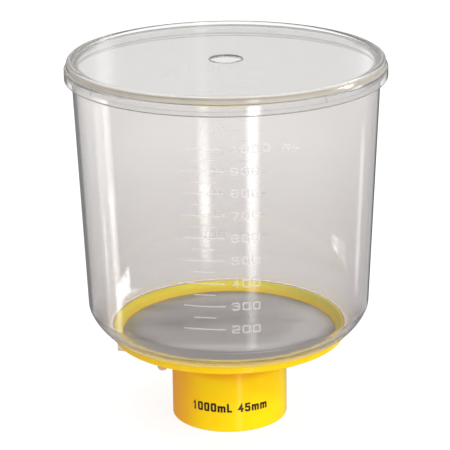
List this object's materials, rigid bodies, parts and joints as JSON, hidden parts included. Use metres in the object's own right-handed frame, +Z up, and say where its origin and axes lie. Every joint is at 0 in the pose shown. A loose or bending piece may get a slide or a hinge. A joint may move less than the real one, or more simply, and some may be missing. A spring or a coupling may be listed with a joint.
{
  "type": "vacuum filtration unit",
  "caption": "Bottle-top vacuum filter: clear graduated funnel with a clear lid, on a yellow dish with a membrane, a threaded collar and a hose connector.",
  "frame": {"origin": "centre of the collar's foot, on the surface it stands on", "axes": "+Z up along the funnel's axis, -Y to the front with the scale, -X along the vacuum port"},
  "size_m": [0.1306, 0.1306, 0.1545],
  "materials": {
    "lid_clear": "clear, polished",
    "funnel_clear": "clear, polished",
    "connector_clear": "clear, polished",
    "membrane": "fine porous sheet",
    "base_yellow": "glossy moulded",
    "gasket": "matte silicone",
    "fibre": "soft fibre"
  },
  "bodies": {
    "filter_unit": {"base": "base_yellow", "funnel": "funnel_clear", "membrane": "membrane", "neck_gasket": "gasket", "hose_connector": "connector_clear", "port_filter": "fibre"},
    "lid": {"lid": "lid_clear"},
    "vent_plug": {"vent_plug": "connector_clear"}
  },
  "joints": [
    {"name": "lid_lift", "type": "slide", "parent": "filter_unit", "child": "lid", "axis": [0, 0, 1], "range_m": [0, 0.06]},
    {"name": "vent_plug_pull", "type": "slide", "parent": "filter_unit", "child": "vent_plug", "axis": [0, 0, -1], "range_m": [0, 0.01]}
  ]
}
